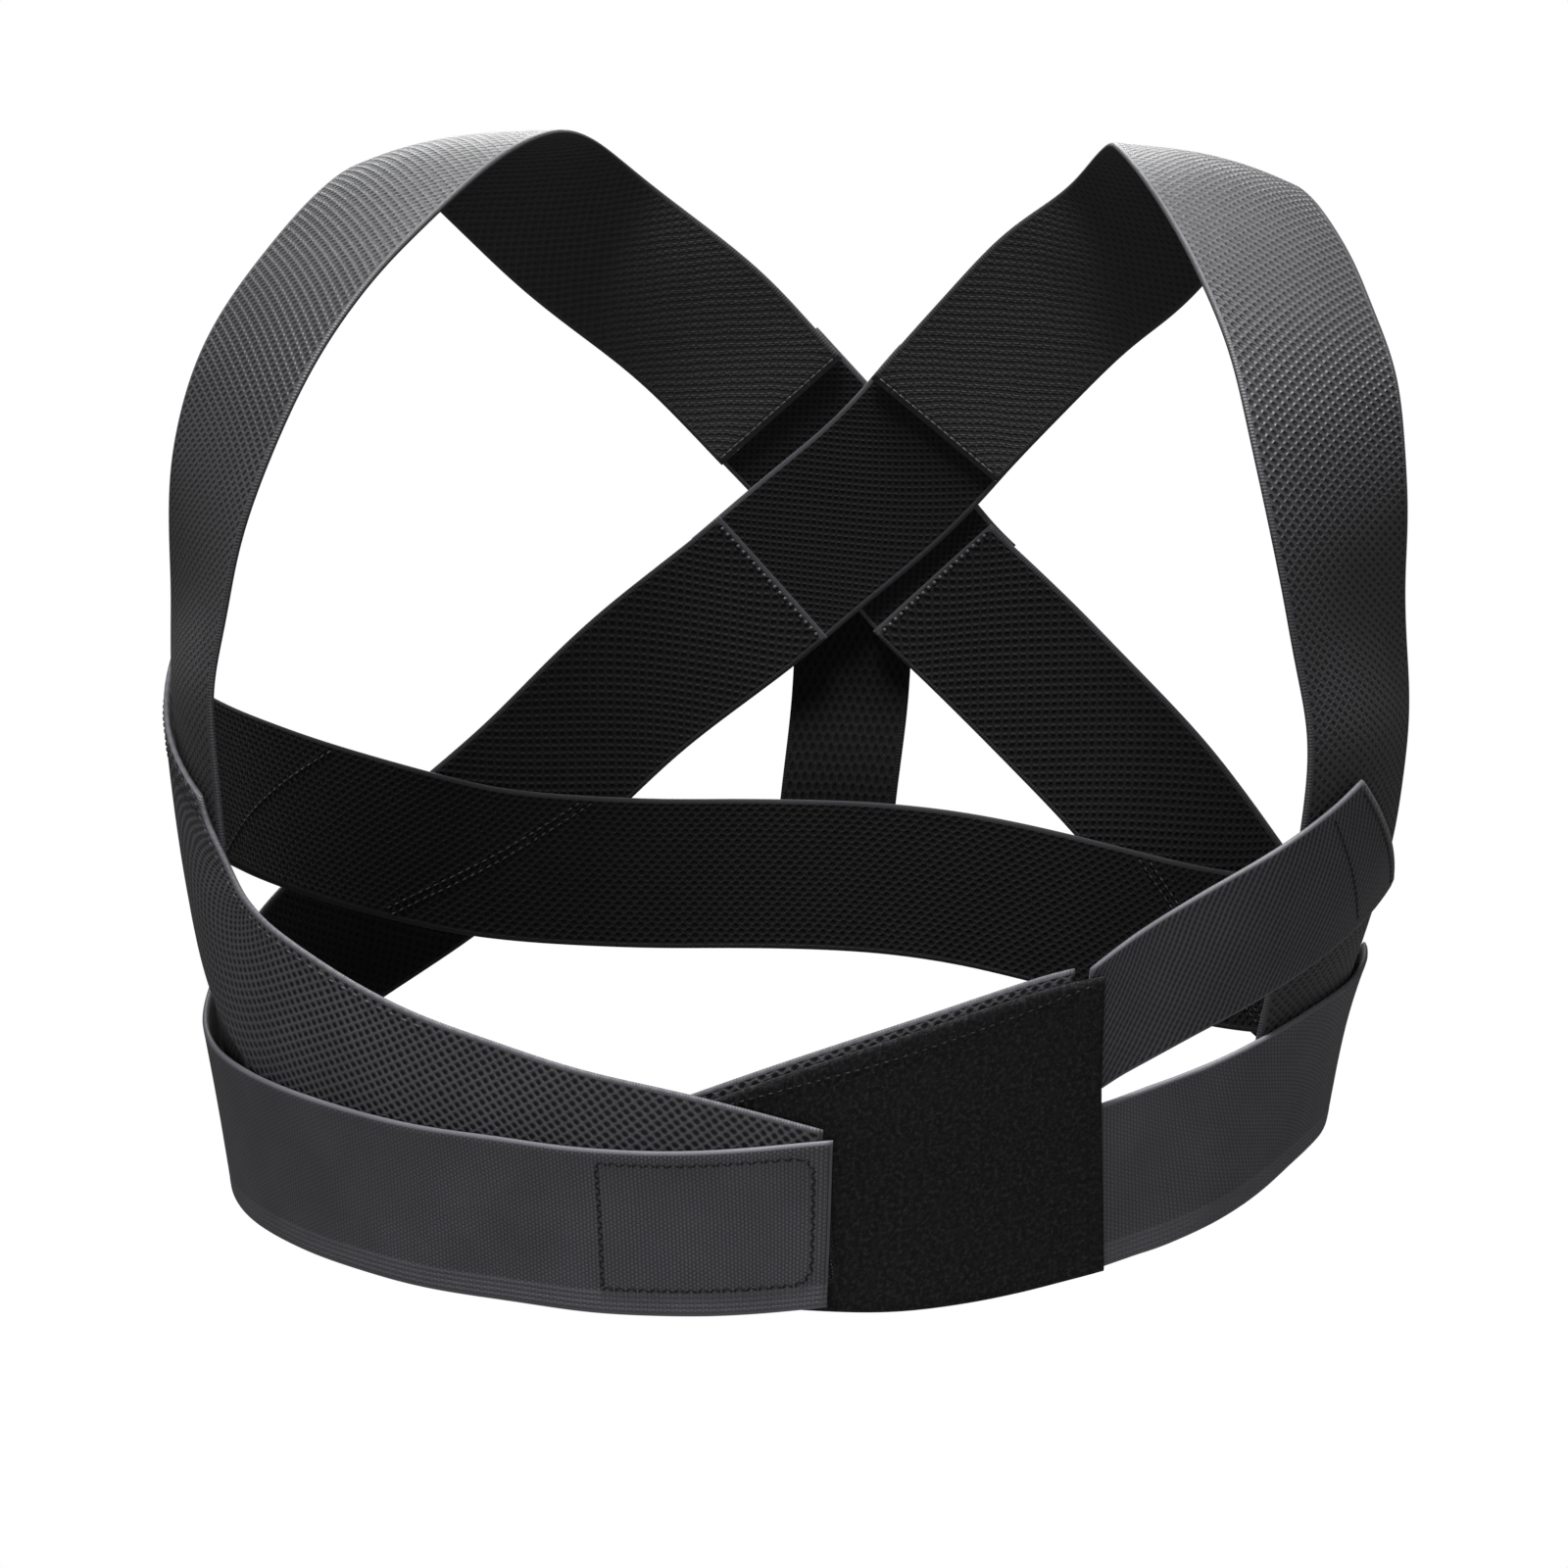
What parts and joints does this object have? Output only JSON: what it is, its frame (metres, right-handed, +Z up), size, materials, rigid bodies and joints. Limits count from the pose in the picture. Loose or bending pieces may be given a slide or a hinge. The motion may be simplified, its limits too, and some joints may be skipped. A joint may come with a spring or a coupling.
{
  "type": "posture corrector",
  "caption": "Elastic posture corrector harness: shoulder straps crossed on the back, back band, and belts closed in front by hook and loop.",
  "frame": {"origin": "midway between the tops of the two shoulder straps, where the harness rests on the shoulders", "axes": "+X to the wearer's left, +Y to the wearer's back, +Z up; the wearer faces -Y"},
  "size_m": [0.3628, 0.2335, 0.31],
  "materials": {
    "coarse_webbing": "matt",
    "smooth_band": "matt",
    "loop_pile": "matt",
    "hook_tape": "matt"
  },
  "bodies": {
    "root": {"right_shoulder_strap": "coarse_webbing", "left_shoulder_strap": "coarse_webbing", "right_cross_strap": "coarse_webbing", "left_cross_strap": "coarse_webbing", "right_back_leg": "coarse_webbing", "left_back_leg": "coarse_webbing", "back_band": "coarse_webbing", "spine_strap": "coarse_webbing", "right_front_band": "coarse_webbing", "left_front_band": "smooth_band", "right_lower_belt": "smooth_band", "left_lower_belt": "smooth_band", "closure_backing": "coarse_webbing", "loop_panel": "loop_pile", "hook_patch": "hook_tape"}
  },
  "joints": []
}
